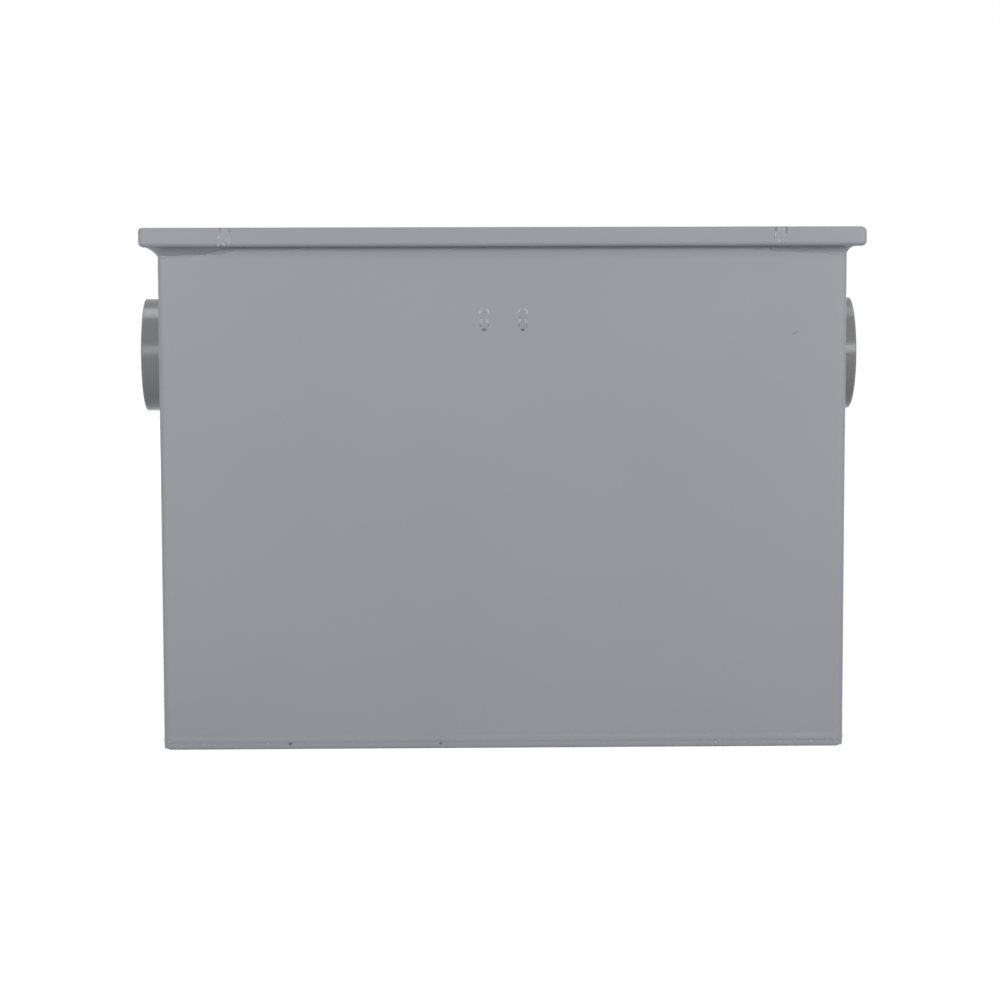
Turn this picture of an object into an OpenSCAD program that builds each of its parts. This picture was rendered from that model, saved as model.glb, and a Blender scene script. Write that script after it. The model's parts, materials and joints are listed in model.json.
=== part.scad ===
// Grease trap: a folded and welded sheet steel tank with a gasketed drop-in cover
// Millimetres, +Z up. The origin is on the floor under the middle of the tank.
// +X points along the flow, from the inlet to the outlet, and the photographed wall faces -Y.

/* [Tank] */
// Length over the end walls
tank_l = 500; // [440:5:640]
// Width over the long walls
tank_w = 340; // [300:5:460]
// Height from the floor to the top of the rim
tank_h = 382; // [360:1:480]
// Thickness of the folded tank sheet
sheet_t = 2.5; // [2:0.1:3]
// Outside radius of the tank's folds
fold_r = 5; // [4.5:0.1:6]
// Straight edge of the bottom tray above its fold
pan_edge = 0.5; // [0.3:0.1:6]

/* [Rim] */
// How far the rim stands out past the walls
rim_reach = 12.5; // [12.5:0.5:16]
// Inside radius of the rim's two folds
rim_fold_r = 0.6; // [0.4:0.1:1.5]
// Outside radius of the rim's corners in plan
rim_corner_r = 5; // [5:0.1:7]
// Radius that the top edge of the rim is ground to at the inlet's corners
inlet_ground_r = 3; // [2:0.1:4.5]
// Radius that the top edge of the rim is ground to at the outlet's corners
outlet_ground_r = 4.5; // [2:0.1:4.5]
// Radius that the foot of the lip is ground to at all four corners
ground_foot_r = 3.6; // [3.2:0.1:3.6]
// Length of each leg of a welded rim corner, along its wall
corner_leg = 49; // [40:1:60]
// Length of the ramp at the end of a corner's cove
cove_ramp = 15; // [10:1:20]
// Height of the cove under the two corners at the inlet end
inlet_cove_h = 6.6; // [4:0.1:8.4]
// Width of the cove under the two corners at the inlet end
inlet_cove_w = 8.8; // [8.5:0.1:8.8]
// Height of the cove under the two corners at the outlet end
outlet_cove_h = 5; // [4:0.1:5.6]
// Width of the cove under the two corners at the outlet end
outlet_cove_w = 5.8; // [5.7:0.1:8.5]

/* [Pipes] */
// Outside diameter of the plain-end inlet and outlet pipes
pipe_od = 88.9; // [60.3:0.1:92]
// Wall thickness of the pipes
pipe_wall = 5.5; // [3:0.1:7]
// How far the pipes stand out of the end walls
pipe_out = 27; // [20:1:60]
// Depth of the pipes' axis below the top of the rim
pipe_drop = 97; // [90:1:120]
// Bevel on the free end of each pipe
pipe_bevel = 0.8; // [0.3:0.1:2]
// Leg of the fillet weld that holds each pipe in its wall
pipe_weld = 3; // [2:0.5:5]

/* [Cover] */
// Thickness of the cover plate without its tread
cover_t = 6; // [5.5:0.1:8]
// Gap between the edge of the cover and the rim
cover_gap = 1.5; // [1:0.1:2.5]
// Height of the non-skid tread above the plate
tread_h = 1.2; // [0.8:0.1:2]
// Length of one raised lug of the tread
lug_l = 24; // [16:1:28]
// Width of one raised lug of the tread
lug_w = 6; // [4:0.5:8]
// Distance from one lug to the next
lug_pitch = 32; // [28:1:40]
// Depth of the tread's top below the top of the rim
cover_recess = 1.3; // [1:0.1:6]
// Thickness of the cover's gasket
gasket_t = 3; // [2:0.5:5]

/* [Hold-down] */
// Diameter of the hold-down screw
screw_d = 10; // [8:1:12]
// Diameter of the screw's countersunk head
screw_head_d = 20; // [17:0.5:22]
// Size across the flats of the socket in the screw's head
screw_socket = 6; // [5:0.5:7]
// Size across the flats of the nut welded under the cross-bar
nut_flats = 17; // [16:0.5:19]
// Height of the nut
nut_h = 8.5; // [6:0.5:11]
// Width of the cross-bar over its two flanges
bar_w = 31; // [28:1:40]
// Height of the cross-bar
bar_h = 25; // [22:1:32]
// Thickness of the cross-bar's steel
bar_t = 3; // [2.5:0.1:4]
// Depth of the cross-bar's top below the top of the rim
bar_drop = 52; // [46:1:70]
// Height of the tabs that plug the cross-bar into the long walls
tab_h = 16; // [10:0.5:17]

/* [Inner parts] */
// Thickness of the baffles, their guides and the outlet hood
inner_t = 2; // [1.5:0.1:2.5]
// Distance from the inlet wall to the first baffle
inlet_baffle_off = 75; // [60:5:120]
// Distance from the outlet wall to the second baffle
outlet_baffle_off = 135; // [120:5:170]
// Depth of the baffles' top edge below the top of the rim
baffle_drop = 52; // [50:1:80]
// Number of flow slots side by side in a baffle
flow_slots = 3; // [2:1:5]
// Width of one flow slot in a baffle
flow_slot_w = 24; // [12:1:32]
// Height of one flow slot in a baffle
flow_slot_h = 60; // [40:1:70]
// Length of the hand slot that lifts a baffle out
hand_slot_l = 90; // [70:1:110]
// Height of the hand slot
hand_slot_h = 26; // [20:1:30]
// Depth of the outlet hood in front of the outlet wall
hood_d = 60; // [50:1:70]
// Width of the outlet hood
hood_w = 124; // [110:1:140]
// Height of the hood's open mouth above the floor
hood_mouth_z = 60; // [40:1:90]
// Diameter of the clean-out plug's thread
plug_d = 48; // [38:1:60]

/* [Hidden] */
$fn = 48;

// Overrun of every cut past the face it opens
over = 1;

// Paint and metal colours
paint = [0.60, 0.61, 0.63];
brass = [0.78, 0.63, 0.32];
rubber = [0.12, 0.12, 0.13];
bright_steel = [0.78, 0.79, 0.80];

// Tank shell
fold_in_r = fold_r - sheet_t;
pan_h = fold_r + pan_edge;
axis_l = tank_l - 2 * fold_r;
axis_w = tank_w - 2 * fold_r;
inside_l = tank_l - 2 * sheet_t;
inside_w = tank_w - 2 * sheet_t;

// Rim: the ledge carries the gasket, and the lip stands round the cover
ledge_z = tank_h - gasket_t - cover_t - tread_h - cover_recess;
shelf_z = ledge_z - sheet_t;
bend_z = shelf_z - rim_fold_r;
lip_in = rim_reach - sheet_t;
lip_axis = rim_reach - rim_corner_r;
inlet_cove_flat_share = 2.2;
outlet_cove_flat_share = 1.5;
cove_edge_share = 0.75;
cove_trim_past = 1;
ground_flat_share = 0.2;

// Pipes
pipe_r = pipe_od / 2;
bore_r = pipe_r - pipe_wall;
pipe_fit = 0.2;
pipe_l = pipe_out + sheet_t;
pipe_z = tank_h - pipe_drop;

// Gasket and cover
gasket_clear = 0.2;
gasket_out = lip_in - rim_fold_r - gasket_clear;
cover_z = ledge_z + gasket_t;
cover_top = cover_z + cover_t;
cover_l = tank_l + 2 * (lip_in - cover_gap);
cover_w = tank_w + 2 * (lip_in - cover_gap);
cover_corner_r = 4;
lug_edge = 10;

// Hold-down screw with its seal and retainer
screw_r = screw_d / 2;
screw_head_r = screw_head_d / 2;
screw_head_h = screw_head_r - screw_r;
head_clear = 0.1;
shank_clear = 0.5;
seal_t = 2;
seal_r = 11;
seal_clear = 0.1;
retainer_t = 1.6;
retainer_r = 9;
retainer_clear = 0.05;
screw_socket_depth_share = 0.75;

// Cross-bar, which stands with its web on top and its flanges down
bar_top = tank_h - bar_drop;
bar_z = bar_top - bar_h;
web_z = bar_top - bar_t;
tab_clear = 0.5;
tab_z = bar_z + (bar_h - bar_t) / 2;
tab_x = (bar_w - bar_t) / 2;
tab_out = sheet_t - tab_clear;
nut_z = web_z - nut_h;
thread_clear = 0.3;
bar_hole_clear = 1;
screw_past_nut = 2.5;
screw_end_z = nut_z - screw_past_nut;
screw_end_bevel = 1.2;

// Baffles and their guides
inlet_baffle_x = inlet_baffle_off - tank_l / 2;
outlet_baffle_x = tank_l / 2 - outlet_baffle_off;
guide_clear = 0.75;
guide_d = 14;
guide_foot = 3;
guide_lead = 6;
guide_gap = inner_t + 2 * guide_clear;
guide_z = pan_h + guide_foot;
baffle_top = tank_h - baffle_drop;
guide_top_drop = 20;
guide_top = baffle_top - guide_top_drop;
baffle_w = inside_w - 2 * guide_clear;
baffle_h = baffle_top - sheet_t;
baffle_fold_r = 2;
baffle_lip = 14;
baffle_corner = 8;
hand_slot_drop = 34;
flow_span_share = 0.6;
inlet_slots_share = 0.36;
outlet_slots_share = 0.14;

// Outlet hood with the clean-out in line with the outlet pipe
hood_x = tank_l / 2 - sheet_t - hood_d;
hood_top_gap = 20;
hood_top = tank_h - hood_top_gap;
hood_h = hood_top - hood_mouth_z;
hood_in_r = fold_r - inner_t;
vent_d = 8;
vent_drop = 14;
plug_r = plug_d / 2;
plug_clear = 0.15;
boss_wall = 7;
boss_t = 10;
flange_over = 3.5;
flange_t = 4;
plug_head = 22;
plug_head_h = 12;
plug_end_r = 1;

// Plan outline of a box with round corners
module round_rect(l, w, r) {
    square([l - 2 * r, w], center = true);
    square([l, w - 2 * r], center = true);
    for (x = [-1, 1], y = [-1, 1])
        translate([x * (l / 2 - r), y * (w / 2 - r)])
            circle(r);
}

// Upright slot with round ends
module round_slot(w, h) {
    square([w, h - w], center = true);
    for (s = [-1, 1])
        translate([0, s * (h - w) / 2])
            circle(w / 2);
}

// A quarter of a sheet fold, from the given angle on
module fold(r_in, t, from) {
    intersection() {
        difference() {
            circle(r_in + t);
            circle(r_in);
        }
        rotate(from)
            square(r_in + t);
    }
}

// Runs a profile along the four sides of a rectangle, held back from its corners
module side_runs(l, w, held_back) {
    for (side = [0:3]) {
        run = (side % 2 == 0 ? w : l) - 2 * held_back;
        reach = (side % 2 == 0 ? l : w) / 2;
        rotate([0, 0, 90 * side])
            translate([reach, run / 2, 0])
                rotate([90, 0, 0])
                    linear_extrude(run)
                        children();
    }
}

// Turns a profile through the four corners of a rectangle
module corner_turns(l, w) {
    for (side = [0:3]) {
        run = side % 2 == 0 ? w : l;
        reach = (side % 2 == 0 ? l : w) / 2;
        rotate([0, 0, 90 * side])
            translate([reach, run / 2, 0])
                rotate_extrude(angle = 90)
                    children();
    }
}

// The upturned lip with its lower fold, measured outward from the wall
module lip_profile() {
    translate([lip_in - rim_fold_r, ledge_z + rim_fold_r])
        fold(rim_fold_r, sheet_t, -90);
    translate([lip_in, ledge_z + rim_fold_r])
        square([sheet_t, tank_h - ledge_z - rim_fold_r]);
}

// The lip of a rim corner, with the strip of shelf that turns round with it
module corner_lip_profile() {
    translate([lip_axis, shelf_z])
        square([lip_in - rim_fold_r - lip_axis, sheet_t]);
    lip_profile();
}

// The whole rim as folded out of a wall: out, then up
module rim_profile() {
    translate([rim_fold_r, bend_z])
        fold(rim_fold_r, sheet_t, 90);
    translate([rim_fold_r, shelf_z])
        square([lip_in - 2 * rim_fold_r, sheet_t]);
    lip_profile();
}

// One folded sheet: four walls with the rim turned out of their top edges
module wall_wrapper() {
    color(paint)
    difference() {
        union() {
            translate([0, 0, pan_h])
                linear_extrude(bend_z - pan_h)
                    wall_outline();
            translate([0, 0, bend_z])
                linear_extrude(rim_fold_r)
                    intersection() {
                        wall_outline();
                        notch_outline();
                    }
            side_runs(tank_l, tank_w, corner_leg)
                rim_profile();
        }
        translate([0, 0, pipe_z])
            rotate([0, 90, 0])
                cylinder(r = pipe_r + pipe_fit, h = tank_l + 2 * over, center = true);
        for (x = [-1, 1])
            translate([x * tab_x, 0, tab_z])
                rotate([90, 0, 0])
                    linear_extrude(tank_w + 2 * over, center = true)
                        square([bar_t + 2 * tab_clear, tab_h + 2 * tab_clear], center = true);
    }
}

module wall_outline() {
    difference() {
        round_rect(tank_l, tank_w, fold_r);
        round_rect(inside_l, inside_w, fold_in_r);
    }
}

// The four places in plan where a rim corner is welded in
module notch_outline() {
    for (x = [-1, 1], y = [-1, 1])
        translate([x * (tank_l - corner_leg) / 2, y * (tank_w - corner_leg) / 2])
            square(corner_leg, center = true);
}

// Shallow tray that closes the bottom, with round edges and corners
module bottom_pan() {
    color(paint)
    union() {
        linear_extrude(sheet_t)
            square([axis_l, axis_w], center = true);
        side_runs(axis_l, axis_w, 0)
            pan_edge_profile();
        corner_turns(axis_l, axis_w)
            pan_edge_profile();
    }
}

module pan_edge_profile() {
    translate([0, fold_r])
        fold(fold_in_r, sheet_t, -90);
    translate([fold_in_r, fold_r])
        square([sheet_t, pan_edge]);
}

// Rim corner at the +X +Y end, drawn from the sharp corner of the two walls
module rim_corner(cove_w, cove_h, flat_share, ground_r) {
    color(paint)
    difference() {
        rim_corner_blank(cove_w, cove_h, flat_share);
        ground_edge_cut(ground_r);
    }
}

// The rim corner before its edges are ground
module rim_corner_blank(cove_w, cove_h, flat_share) {
    union() {
        corner_shelf();
        for (flip = [0, 1])
            mirror([flip, -flip, 0]) {
                corner_leg_run(lip_axis)
                    corner_lip_profile();
                difference() {
                    corner_leg_run(-fold_r)
                        cove_profile(cove_w, cove_h, flat_share);
                    cove_end_cut(cove_h, flip == 0 ? cove_edge_share * cove_h : cove_h + cove_trim_past);
                }
            }
        translate([lip_axis, lip_axis, 0])
            rotate_extrude(angle = 90)
                translate([-lip_axis, 0])
                    corner_lip_profile();
        translate([-fold_r, -fold_r, 0])
            rotate_extrude(angle = 90)
                translate([fold_r, 0])
                    cove_profile(cove_w, cove_h, flat_share);
    }
}

// Runs a profile along the wall that faces +Y, from the end of the leg to x = end
module corner_leg_run(end) {
    translate([-corner_leg, 0, 0])
        rotate([90, 0, 90])
            linear_extrude(corner_leg + end)
                children();
}

module corner_shelf() {
    translate([0, 0, shelf_z])
        linear_extrude(sheet_t)
            difference() {
                translate([-corner_leg, -corner_leg])
                    square(corner_leg + lip_axis);
                translate([-tank_l / 2, -tank_w / 2])
                    round_rect(inside_l, inside_w, fold_in_r);
            }
}

// Hollow fillet that leaves the shelf at a small angle and meets the wall at a larger one
module cove_profile(w, h, flat_share) {
    chord = norm([w, h]);
    cove_r = flat_share * chord * chord / (2 * h);
    arc_off = sqrt(cove_r * cove_r - chord * chord / 4);
    translate([0, shelf_z - h])
        difference() {
            square([w, h + sheet_t / 2]);
            translate([w / 2 + arc_off * h / chord, h / 2 - arc_off * w / chord])
                circle(cove_r);
        }
}

// Slopes the end of a cove up to the shelf, and trims it to a height of edge_h away from the corner
module cove_end_cut(h, edge_h) {
    foot_z = shelf_z - h - cove_trim_past;
    rotate([90, 0, 0])
        linear_extrude(2 * tank_w, center = true)
            polygon([
                [-corner_leg - over, shelf_z],
                [-corner_leg, shelf_z],
                [-corner_leg + cove_ramp, shelf_z - edge_h],
                [-fold_r - cove_ramp, shelf_z - edge_h],
                [-fold_r, foot_z],
                [-corner_leg - over, foot_z]
            ]);
}

// Rounds the outer edges of the lip on the end wall's side, as a grinder leaves them
module ground_edge_cut(top_r) {
    rotate([90, 0, 0])
        linear_extrude(4 * corner_leg, center = true) {
            translate([rim_reach - top_r, tank_h - top_r])
                edge_waste(top_r);
            translate([rim_reach - ground_foot_r, shelf_z + ground_foot_r])
                mirror([0, 1])
                    edge_waste(ground_foot_r);
        }
}

// What rounding takes off a square edge at [r, r], a little flatter than a quarter round
module edge_waste(r) {
    flat = ground_flat_share * r;
    difference() {
        square(2 * r);
        translate([-flat, -flat])
            circle(norm([flat, r + flat]));
    }
}

// Puts a rim corner on its corner of the tank
module at_corner(x, y) {
    mirror([x < 0 ? 1 : 0, 0, 0])
        mirror([0, y < 0 ? 1 : 0, 0])
            translate([tank_l / 2, tank_w / 2, 0])
                children();
}

module rim_corner_inlet_front() {
    at_corner(-1, -1)
        rim_corner(inlet_cove_w, inlet_cove_h, inlet_cove_flat_share, inlet_ground_r);
}

module rim_corner_inlet_rear() {
    at_corner(-1, 1)
        rim_corner(inlet_cove_w, inlet_cove_h, inlet_cove_flat_share, inlet_ground_r);
}

module rim_corner_outlet_front() {
    at_corner(1, -1)
        rim_corner(outlet_cove_w, outlet_cove_h, outlet_cove_flat_share, outlet_ground_r);
}

module rim_corner_outlet_rear() {
    at_corner(1, 1)
        rim_corner(outlet_cove_w, outlet_cove_h, outlet_cove_flat_share, outlet_ground_r);
}

// Short plain-end pipe, set through the end wall that faces +X and flush with its inside, with the
// fillet weld round its root
module pipe_stub() {
    color(paint)
    translate([inside_l / 2, 0, pipe_z])
        rotate([0, 90, 0])
            rotate_extrude()
                polygon([
                    [bore_r, 0],
                    [pipe_r, 0],
                    [pipe_r, sheet_t],
                    [pipe_r + pipe_weld, sheet_t],
                    [pipe_r, sheet_t + pipe_weld],
                    [pipe_r, pipe_l - pipe_bevel],
                    [pipe_r - pipe_bevel, pipe_l],
                    [bore_r, pipe_l]
                ]);
}

module inlet_stub() {
    mirror([1, 0, 0])
        pipe_stub();
}

module outlet_stub() {
    pipe_stub();
}

// Channel across the tank that takes the pull of the hold-down screw
module cross_bar() {
    color(paint)
    difference() {
        union() {
            translate([0, 0, bar_z + bar_h / 2])
                cube([bar_w, inside_w, bar_h], center = true);
            for (x = [-1, 1])
                translate([x * tab_x, 0, tab_z])
                    cube([bar_t, inside_w + 2 * tab_out, tab_h], center = true);
        }
        translate([0, 0, bar_z + (bar_h - bar_t) / 2 - over / 2])
            cube([bar_w - 2 * bar_t, tank_w + 2 * over, bar_h - bar_t + over], center = true);
        translate([0, 0, web_z - over])
            cylinder(r = screw_r + bar_hole_clear, h = bar_t + 2 * over);
    }
}

// Hexagon nut welded to the underside of the cross-bar's web
module cross_bar_nut() {
    color(bright_steel)
    translate([0, 0, nut_z])
        difference() {
            cylinder(r = nut_flats / (2 * cos(30)), h = nut_h, $fn = 6);
            translate([0, 0, -over])
                cylinder(r = screw_r + thread_clear, h = nut_h + 2 * over);
        }
}

// Flat bar on edge on the wall that faces +Y: a baffle slides between one upstream, side = -1,
// and one downstream, side = 1, and their tops slope to lead it in
module guide(x, side) {
    color(paint)
    translate([x + side * (guide_gap + inner_t) / 2, inside_w / 2 - guide_d, 0])
        rotate([90, 0, 90])
            linear_extrude(inner_t, center = true)
                polygon([
                    [0, guide_z],
                    [guide_d, guide_z],
                    [guide_d, guide_top],
                    [guide_lead, guide_top],
                    [0, guide_top - guide_lead]
                ]);
}

// The same bar on the wall that faces -Y
module front_guide(x, side) {
    mirror([0, 1, 0])
        guide(x, side);
}

module inlet_guide_front_upstream() {
    front_guide(inlet_baffle_x, -1);
}

module inlet_guide_front_downstream() {
    front_guide(inlet_baffle_x, 1);
}

module inlet_guide_rear_upstream() {
    guide(inlet_baffle_x, -1);
}

module inlet_guide_rear_downstream() {
    guide(inlet_baffle_x, 1);
}

module outlet_guide_front_upstream() {
    front_guide(outlet_baffle_x, -1);
}

module outlet_guide_front_downstream() {
    front_guide(outlet_baffle_x, 1);
}

module outlet_guide_rear_upstream() {
    guide(outlet_baffle_x, -1);
}

module outlet_guide_rear_downstream() {
    guide(outlet_baffle_x, 1);
}

// Lift-out plate with a turned top edge, a hand slot and flow slots at a share of its height
module baffle(x, height_share) {
    color(paint)
    translate([x, 0, sheet_t])
        difference() {
            rotate([90, 0, 0])
                linear_extrude(baffle_w, center = true)
                    baffle_profile();
            rotate([90, 0, 90])
                linear_extrude(2 * inner_t, center = true)
                    baffle_openings(height_share);
            rotate([90, 0, 90])
                linear_extrude(2 * baffle_lip, center = true)
                    baffle_corner_cuts();
        }
}

// Upright plate with its top edge turned towards the inlet
module baffle_profile() {
    bend_h = baffle_h - inner_t - baffle_fold_r;
    translate([-inner_t / 2, 0])
        square([inner_t, bend_h]);
    translate([-inner_t / 2 - baffle_fold_r, bend_h])
        fold(baffle_fold_r, inner_t, 0);
    translate([inner_t / 2 - baffle_lip, baffle_h - inner_t])
        square([baffle_lip - inner_t - baffle_fold_r, inner_t]);
}

module baffle_openings(height_share) {
    for (i = [0:flow_slots - 1])
        translate([baffle_w * flow_span_share * (i / (flow_slots - 1) - 1 / 2), baffle_h * height_share])
            round_slot(flow_slot_w, flow_slot_h);
    translate([0, baffle_h - hand_slot_drop])
        rotate(90)
            round_slot(hand_slot_h, hand_slot_l);
}

// Bottom corners cut off so that the plate clears the tray's round edges
module baffle_corner_cuts() {
    for (y = [-1, 1])
        translate([y * baffle_w / 2, 0])
            rotate(45)
                square(baffle_corner, center = true);
}

module inlet_baffle() {
    baffle(inlet_baffle_x, inlet_slots_share);
}

module outlet_baffle() {
    baffle(outlet_baffle_x, outlet_slots_share);
}

// Folded box in front of the outlet, open at its foot, that draws from low in the tank
module outlet_hood() {
    color(paint)
    translate([hood_x, 0, hood_mouth_z])
        difference() {
            linear_extrude(hood_h)
                hood_outline(hood_d, hood_w, fold_r);
            translate([inner_t, 0, -over])
                linear_extrude(hood_h - inner_t + over)
                    hood_outline(hood_d + over, hood_w - 2 * inner_t, hood_in_r);
            translate([0, 0, pipe_z - hood_mouth_z])
                rotate([0, 90, 0])
                    cylinder(r = plug_r + plug_clear, h = 4 * inner_t, center = true);
            translate([0, 0, hood_h - vent_drop])
                rotate([0, 90, 0])
                    cylinder(r = vent_d / 2, h = 4 * inner_t, center = true);
        }
}

// Plan of the hood: round at the front, square where it meets the wall
module hood_outline(d, w, r) {
    translate([r, -w / 2])
        square([d - r, w]);
    translate([0, r - w / 2])
        square([d - r, w - 2 * r]);
    for (y = [-1, 1])
        translate([r, y * (w / 2 - r)])
            circle(r);
}

// Threaded ring welded on the front of the hood
module cleanout_boss() {
    color(paint)
    translate([hood_x, 0, pipe_z])
        rotate([0, -90, 0])
            difference() {
                cylinder(r = plug_r + boss_wall, h = boss_t);
                translate([0, 0, -over])
                    cylinder(r = plug_r + plug_clear, h = boss_t + 2 * over);
            }
}

// Screwed plug with a square head, which closes the clean-out
module cleanout_plug() {
    color(brass)
    translate([hood_x - boss_t, 0, pipe_z])
        rotate([0, -90, 0]) {
            rotate_extrude()
                polygon([
                    [0, -boss_t],
                    [plug_r - plug_end_r, -boss_t],
                    [plug_r, plug_end_r - boss_t],
                    [plug_r, 0],
                    [plug_r + flange_over, 0],
                    [plug_r + flange_over, flange_t],
                    [0, flange_t]
                ]);
            translate([0, 0, flange_t + plug_head_h / 2])
                cube([plug_head, plug_head, plug_head_h], center = true);
        }
}

// Flat rubber frame that lies on the ledge
module cover_gasket() {
    color(rubber)
    translate([0, 0, ledge_z])
        linear_extrude(gasket_t)
            difference() {
                round_rect(tank_l + 2 * gasket_out, tank_w + 2 * gasket_out, fold_r + gasket_out);
                round_rect(inside_l, inside_w, fold_in_r);
            }
}

// Plate that drops inside the rim, with a non-skid tread of raised lugs
module cover_plate() {
    color(paint)
    difference() {
        union() {
            translate([0, 0, cover_z])
                linear_extrude(cover_t)
                    round_rect(cover_l, cover_w, cover_corner_r);
            translate([0, 0, cover_top])
                linear_extrude(tread_h)
                    tread();
        }
        translate([0, 0, cover_top - screw_head_h])
            cylinder(r1 = screw_r + head_clear, r2 = screw_head_r + head_clear, h = screw_head_h);
        translate([0, 0, cover_z - over])
            cylinder(r = screw_r + shank_clear, h = cover_t + 2 * over);
    }
}

// Lugs in rows, each turned across its neighbours, with a clear place round the screw
module tread() {
    nx = floor((cover_l / 2 - lug_edge - lug_l / 2) / lug_pitch);
    ny = floor((cover_w / 2 - lug_edge - lug_l / 2) / lug_pitch);
    for (i = [-nx:nx], j = [-ny:ny])
        if (norm([i, j]) * lug_pitch > screw_head_r + lug_l / 2)
            translate([i * lug_pitch, j * lug_pitch])
                rotate((i + j) % 2 == 0 ? 45 : -45)
                    lug();
}

// Pointed oval between two arcs
module lug() {
    arc_r = (lug_l * lug_l + lug_w * lug_w) / (4 * lug_w);
    intersection_for (s = [-1, 1])
        translate([0, s * (arc_r - lug_w / 2)])
            circle(arc_r);
}

// Countersunk screw with a hexagon socket, flush with the cover
module hold_down_screw() {
    color(bright_steel)
    difference() {
        rotate_extrude()
            polygon([
                [0, screw_end_z],
                [screw_r - screw_end_bevel, screw_end_z],
                [screw_r, screw_end_z + screw_end_bevel],
                [screw_r, cover_top - screw_head_h],
                [screw_head_r, cover_top],
                [0, cover_top]
            ]);
        translate([0, 0, cover_top - screw_head_h * screw_socket_depth_share])
            cylinder(r = screw_socket / (2 * cos(30)), h = screw_head_h, $fn = 6);
    }
}

// Rubber washer under the cover that seals the screw hole
module screw_seal() {
    color(rubber)
    translate([0, 0, cover_z - seal_t])
        difference() {
            cylinder(r = seal_r, h = seal_t);
            translate([0, 0, -over])
                cylinder(r = screw_r + seal_clear, h = seal_t + 2 * over);
        }
}

// Push-on ring that keeps the screw in the cover when the cover is lifted off
module screw_retainer() {
    color(bright_steel)
    translate([0, 0, cover_z - seal_t - retainer_t])
        difference() {
            cylinder(r = retainer_r, h = retainer_t);
            translate([0, 0, -over])
                cylinder(r = screw_r + retainer_clear, h = retainer_t + 2 * over);
        }
}

wall_wrapper();
bottom_pan();
rim_corner_inlet_front();
rim_corner_inlet_rear();
rim_corner_outlet_front();
rim_corner_outlet_rear();
inlet_stub();
outlet_stub();
cross_bar();
cross_bar_nut();
inlet_guide_front_upstream();
inlet_guide_front_downstream();
inlet_guide_rear_upstream();
inlet_guide_rear_downstream();
outlet_guide_front_upstream();
outlet_guide_front_downstream();
outlet_guide_rear_upstream();
outlet_guide_rear_downstream();
inlet_baffle();
outlet_baffle();
outlet_hood();
cleanout_boss();
cleanout_plug();
cover_gasket();
cover_plate();
hold_down_screw();
screw_seal();
screw_retainer();
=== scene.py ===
"""Looks of the grease trap: paint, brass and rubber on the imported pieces, and the welds laid on them.

Metres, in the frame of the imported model: +X along the flow, the photographed wall faces -Y, +Z up.
"""

import json
import math

import bpy
from mathutils import Matrix, Vector, noise

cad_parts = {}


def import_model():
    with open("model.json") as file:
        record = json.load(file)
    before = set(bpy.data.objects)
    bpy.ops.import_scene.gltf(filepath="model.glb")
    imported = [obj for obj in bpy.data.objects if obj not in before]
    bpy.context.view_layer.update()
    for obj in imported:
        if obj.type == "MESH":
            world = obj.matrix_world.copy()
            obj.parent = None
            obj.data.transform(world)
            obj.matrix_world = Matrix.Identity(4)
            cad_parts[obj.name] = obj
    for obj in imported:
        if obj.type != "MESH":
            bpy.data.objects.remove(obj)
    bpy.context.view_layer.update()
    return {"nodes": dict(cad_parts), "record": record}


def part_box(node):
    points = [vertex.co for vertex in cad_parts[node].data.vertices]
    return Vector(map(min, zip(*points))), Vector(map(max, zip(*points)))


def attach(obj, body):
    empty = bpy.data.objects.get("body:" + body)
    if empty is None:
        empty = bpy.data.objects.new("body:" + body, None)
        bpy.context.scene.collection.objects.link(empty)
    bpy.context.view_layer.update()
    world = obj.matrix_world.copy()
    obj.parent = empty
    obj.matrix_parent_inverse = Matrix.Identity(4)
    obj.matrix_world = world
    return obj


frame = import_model()
nodes = frame["nodes"]

MM = 0.001
UP = Vector((0, 0, 1))
DOWN = -UP

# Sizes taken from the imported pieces
pan_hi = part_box("bottom_pan")[1]
wrapper_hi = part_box("wall_wrapper")[1]
corner_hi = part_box("rim_corner_inlet_front")[1]
pipe_lo, pipe_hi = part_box("outlet_stub")
hood_lo, hood_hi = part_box("outlet_hood")
boss_lo, boss_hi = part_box("cleanout_boss")
ledge_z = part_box("cover_gasket")[0].z

half_l = pan_hi.x
half_w = pan_hi.y
seam_z = pan_hi.z
rim_top = wrapper_hi.z
rim_reach = wrapper_hi.x - half_l
leg_x = -corner_hi.x
leg_y = -corner_hi.y
pipe_z = (pipe_lo.z + pipe_hi.z) / 2

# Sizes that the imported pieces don't give by their corners
SHEET_T = 2.5 * MM
FOLD_R = 5 * MM
RIM_FOLD_OUT = 3.1 * MM
PIPE_WELD = 3 * MM
PIPE_R = (pipe_hi.z - pipe_lo.z) / 2 - PIPE_WELD
SHELF_Z = ledge_z - SHEET_T
TAB_X = 14 * MM
TAB_Z = 316 * MM
COVE_RAMP = 15 * MM
COVE_H = {-1: 6.6 * MM, 1: 5 * MM}
COVE_EDGE_SHARE = 0.75

# The two ends and the two long walls, by the sign of their side
END_NAME = {-1: "inlet", 1: "outlet"}
WALL_NAME = {-1: "front", 1: "rear"}


# Materials

# Scales of noise are per metre, and depths of relief in metres
CLOUD_SCALE = 7.0
PAINT_GLOSS_SCALE = 24.0
PAINT_GLOSS_SPREAD = 0.04
WAVE_SCALE = 60.0
WAVE_DEPTH = 0.03 * MM
PEEL_SCALE = 900.0
METAL_GLOSS_SCALE = 90.0
METAL_GLOSS_SPREAD = 0.08
FINE_SCALE = 2200.0


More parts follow.
